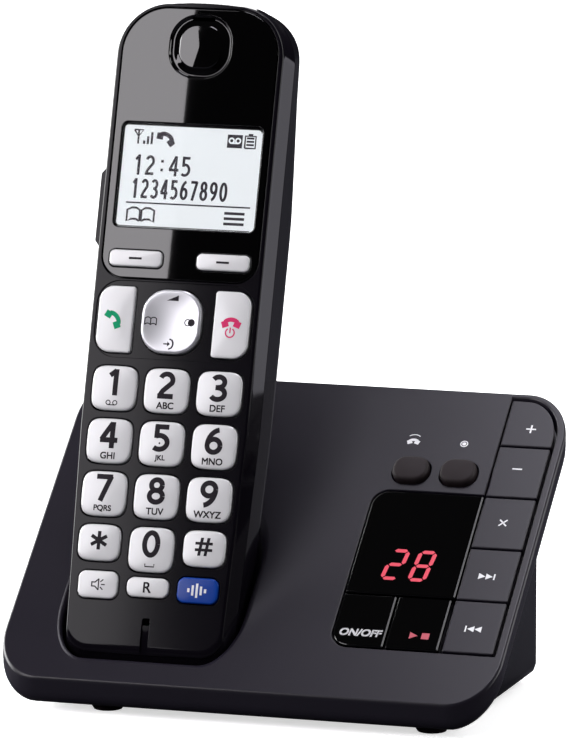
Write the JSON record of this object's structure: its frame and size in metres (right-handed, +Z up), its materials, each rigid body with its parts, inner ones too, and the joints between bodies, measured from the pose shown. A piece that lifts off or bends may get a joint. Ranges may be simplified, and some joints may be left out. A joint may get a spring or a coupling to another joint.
{
  "type": "answering machine",
  "caption": "Cordless telephone in a sloped answering-machine base: the handset with keypad and display lifts out of its pocket beside the message display and keys.",
  "frame": {"origin": "on the desk, under the middle of the whole telephone with its handset docked", "axes": "+Z up, -Y toward the user, so the keys face -Y; +X to the user's right"},
  "size_m": [0.131, 0.078, 0.1726],
  "materials": {
    "black_rubber": "matte",
    "black_satin": "satin",
    "cell_wrap": "printed sleeve",
    "charcoal_satin": "satin",
    "circuit_board": "solder mask",
    "component_black": "matte",
    "contact_nickel": "plated",
    "display_clear": "polished",
    "key_blue": "gloss",
    "key_white": "satin",
    "lcd_grey": "matte",
    "navigator_silver": "satin metallic paint",
    "piano_black": "gloss"
  },
  "bodies": {
    "base": {"top_cover": "charcoal_satin", "bottom_cover": "black_satin", "foot_front_left": "black_rubber", "foot_front_right": "black_rubber", "foot_rear_left": "black_rubber", "foot_rear_right": "black_rubber", "display_window": "piano_black", "led_display": "component_black", "key_board": "circuit_board", "base_board": "circuit_board", "base_speaker": "component_black", "line_jack": "component_black", "power_jack": "component_black"},
    "handset": {"front_housing": "charcoal_satin", "rear_housing": "black_satin", "face_plate": "piano_black", "display_lens": "display_clear", "lcd_module": "lcd_grey", "keypad_mat": "black_rubber", "handset_board": "circuit_board", "earpiece_speaker": "component_black", "charge_plate_left": "contact_nickel", "charge_plate_right": "contact_nickel", "battery_cell_left": "cell_wrap", "battery_cell_right": "cell_wrap"},
    "answer_key": {"answer_key": "piano_black"},
    "battery_cover": {"battery_cover": "black_satin"},
    "cradle_contact_left": {"cradle_contact_left": "contact_nickel"},
    "cradle_contact_right": {"cradle_contact_right": "contact_nickel"},
    "erase_key": {"erase_key": "charcoal_satin"},
    "key_0": {"key_0": "key_white"},
    "key_1": {"key_1": "key_white"},
    "key_2": {"key_2": "key_white"},
    "key_3": {"key_3": "key_white"},
    "key_4": {"key_4": "key_white"},
    "key_5": {"key_5": "key_white"},
    "key_6": {"key_6": "key_white"},
    "key_7": {"key_7": "key_white"},
    "key_8": {"key_8": "key_white"},
    "key_9": {"key_9": "key_white"},
    "key_hash": {"key_hash": "key_white"},
    "key_star": {"key_star": "key_white"},
    "locator_key_left": {"locator_key_left": "black_rubber"},
    "locator_key_right": {"locator_key_right": "black_rubber"},
    "navigator_key": {"navigator_key": "navigator_silver"},
    "navigator_pivot": {"navigator_pivot": "component_black"},
    "noise_filter_key": {"noise_filter_key": "key_blue"},
    "off_key": {"off_key": "key_white"},
    "play_key": {"play_key": "piano_black"},
    "recall_key": {"recall_key": "key_white"},
    "side_key": {"side_key": "black_satin"},
    "skip_back_key": {"skip_back_key": "charcoal_satin"},
    "skip_forward_key": {"skip_forward_key": "charcoal_satin"},
    "soft_key_left": {"soft_key_left": "key_white"},
    "soft_key_right": {"soft_key_right": "key_white"},
    "speakerphone_key": {"speakerphone_key": "key_white"},
    "talk_key": {"talk_key": "key_white"},
    "volume_down_key": {"volume_down_key": "charcoal_satin"},
    "volume_up_key": {"volume_up_key": "charcoal_satin"}
  },
  "joints": [
    {"name": "handset_lift", "type": "slide", "parent": "base", "child": "handset", "axis": [0, 0.3074, 0.9516], "range_m": [0, 0.06]},
    {"name": "volume_up_press", "type": "slide", "parent": "base", "child": "volume_up_key", "axis": [0, 0.6374, -0.7705], "range_m": [0, 0.0005], "stiffness_N_per_m": 900, "springref_m": -0.0005},
    {"name": "volume_down_press", "type": "slide", "parent": "base", "child": "volume_down_key", "axis": [0, 0.6374, -0.7705], "range_m": [0, 0.0005], "stiffness_N_per_m": 900, "springref_m": -0.0005},
    {"name": "erase_press", "type": "slide", "parent": "base", "child": "erase_key", "axis": [0, 0.6374, -0.7705], "range_m": [0, 0.0005], "stiffness_N_per_m": 900, "springref_m": -0.0005},
    {"name": "skip_forward_press", "type": "slide", "parent": "base", "child": "skip_forward_key", "axis": [0, 0.6374, -0.7705], "range_m": [0, 0.0005], "stiffness_N_per_m": 900, "springref_m": -0.0005},
    {"name": "skip_back_press", "type": "slide", "parent": "base", "child": "skip_back_key", "axis": [0, 0.6374, -0.7705], "range_m": [0, 0.0005], "stiffness_N_per_m": 900, "springref_m": -0.0005},
    {"name": "answer_press", "type": "slide", "parent": "base", "child": "answer_key", "axis": [0, 0.6374, -0.7705], "range_m": [0, 0.0005], "stiffness_N_per_m": 900, "springref_m": -0.0005},
    {"name": "play_press", "type": "slide", "parent": "base", "child": "play_key", "axis": [0, 0.6374, -0.7705], "range_m": [0, 0.0005], "stiffness_N_per_m": 900, "springref_m": -0.0005},
    {"name": "locator_left_press", "type": "slide", "parent": "base", "child": "locator_key_left", "axis": [0, 0.6374, -0.7705], "range_m": [0, 0.0008], "stiffness_N_per_m": 700, "springref_m": -0.0008},
    {"name": "locator_right_press", "type": "slide", "parent": "base", "child": "locator_key_right", "axis": [0, 0.6374, -0.7705], "range_m": [0, 0.0008], "stiffness_N_per_m": 700, "springref_m": -0.0008},
    {"name": "cradle_contact_left_press", "type": "slide", "parent": "base", "child": "cradle_contact_left", "axis": [0, 0, -1], "range_m": [0, 0.0009], "stiffness_N_per_m": 400, "springref_m": -0.0009},
    {"name": "cradle_contact_right_press", "type": "slide", "parent": "base", "child": "cradle_contact_right", "axis": [0, 0, -1], "range_m": [0, 0.0009], "stiffness_N_per_m": 400, "springref_m": -0.0009},
    {"name": "key_1_press", "type": "slide", "parent": "handset", "child": "key_1", "axis": [0, 0.9516, -0.3074], "range_m": [0, 0.0005], "stiffness_N_per_m": 900, "springref_m": -0.0005},
    {"name": "key_2_press", "type": "slide", "parent": "handset", "child": "key_2", "axis": [0, 0.9516, -0.3074], "range_m": [0, 0.0005], "stiffness_N_per_m": 900, "springref_m": -0.0005},
    {"name": "key_3_press", "type": "slide", "parent": "handset", "child": "key_3", "axis": [0, 0.9516, -0.3074], "range_m": [0, 0.0005], "stiffness_N_per_m": 900, "springref_m": -0.0005},
    {"name": "key_4_press", "type": "slide", "parent": "handset", "child": "key_4", "axis": [0, 0.9516, -0.3074], "range_m": [0, 0.0005], "stiffness_N_per_m": 900, "springref_m": -0.0005},
    {"name": "key_5_press", "type": "slide", "parent": "handset", "child": "key_5", "axis": [0, 0.9516, -0.3074], "range_m": [0, 0.0005], "stiffness_N_per_m": 900, "springref_m": -0.0005},
    {"name": "key_6_press", "type": "slide", "parent": "handset", "child": "key_6", "axis": [0, 0.9516, -0.3074], "range_m": [0, 0.0005], "stiffness_N_per_m": 900, "springref_m": -0.0005},
    {"name": "key_7_press", "type": "slide", "parent": "handset", "child": "key_7", "axis": [0, 0.9516, -0.3074], "range_m": [0, 0.0005], "stiffness_N_per_m": 900, "springref_m": -0.0005},
    {"name": "key_8_press", "type": "slide", "parent": "handset", "child": "key_8", "axis": [0, 0.9516, -0.3074], "range_m": [0, 0.0005], "stiffness_N_per_m": 900, "springref_m": -0.0005},
    {"name": "key_9_press", "type": "slide", "parent": "handset", "child": "key_9", "axis": [0, 0.9516, -0.3074], "range_m": [0, 0.0005], "stiffness_N_per_m": 900, "springref_m": -0.0005},
    {"name": "key_star_press", "type": "slide", "parent": "handset", "child": "key_star", "axis": [0, 0.9516, -0.3074], "range_m": [0, 0.0005], "stiffness_N_per_m": 900, "springref_m": -0.0005},
    {"name": "key_0_press", "type": "slide", "parent": "handset", "child": "key_0", "axis": [0, 0.9516, -0.3074], "range_m": [0, 0.0005], "stiffness_N_per_m": 900, "springref_m": -0.0005},
    {"name": "key_hash_press", "type": "slide", "parent": "handset", "child": "key_hash", "axis": [0, 0.9516, -0.3074], "range_m": [0, 0.0005], "stiffness_N_per_m": 900, "springref_m": -0.0005},
    {"name": "speakerphone_key_press", "type": "slide", "parent": "handset", "child": "speakerphone_key", "axis": [0, 0.9516, -0.3074], "range_m": [0, 0.0005], "stiffness_N_per_m": 900, "springref_m": -0.0005},
    {"name": "recall_key_press", "type": "slide", "parent": "handset", "child": "recall_key", "axis": [0, 0.9516, -0.3074], "range_m": [0, 0.0005], "stiffness_N_per_m": 900, "springref_m": -0.0005},
    {"name": "noise_filter_key_press", "type": "slide", "parent": "handset", "child": "noise_filter_key", "axis": [0, 0.9516, -0.3074], "range_m": [0, 0.0005], "stiffness_N_per_m": 900, "springref_m": -0.0005},
    {"name": "talk_key_press", "type": "slide", "parent": "handset", "child": "talk_key", "axis": [0, 0.9516, -0.3074], "range_m": [0, 0.0005], "stiffness_N_per_m": 900, "springref_m": -0.0005},
    {"name": "off_key_press", "type": "slide", "parent": "handset", "child": "off_key", "axis": [0, 0.9516, -0.3074], "range_m": [0, 0.0005], "stiffness_N_per_m": 900, "springref_m": -0.0005},
    {"name": "soft_key_left_press", "type": "slide", "parent": "handset", "child": "soft_key_left", "axis": [0, 0.9516, -0.3074], "range_m": [0, 0.0005], "stiffness_N_per_m": 900, "springref_m": -0.0005},
    {"name": "soft_key_right_press", "type": "slide", "parent": "handset", "child": "soft_key_right", "axis": [0, 0.9516, -0.3074], "range_m": [0, 0.0005], "stiffness_N_per_m": 900, "springref_m": -0.0005},
    {"name": "navigator_up_down", "type": "hinge", "parent": "handset", "child": "navigator_pivot", "pos_m": [-0.0284, -0.00306, 0.09411], "axis": [1, 0, 0], "range_deg": [-2.4, 2.4], "stiffness_Nm_per_rad": 0.06},
    {"name": "navigator_left_right", "type": "hinge", "parent": "navigator_pivot", "child": "navigator_key", "pos_m": [-0.0284, -0.00306, 0.09411], "axis": [0, 0.3074, 0.9516], "range_deg": [-2.4, 2.4], "stiffness_Nm_per_rad": 0.06},
    {"name": "volume_rocker", "type": "hinge", "parent": "handset", "child": "side_key", "pos_m": [-0.0516, 0.01289, 0.12007], "axis": [0, 0.9516, -0.3074], "range_deg": [-2, 2], "stiffness_Nm_per_rad": 0.05},
    {"name": "battery_cover_off", "type": "slide", "parent": "handset", "child": "battery_cover", "axis": [0, 0.9516, -0.3074], "range_m": [0, 0.01]}
  ]
}
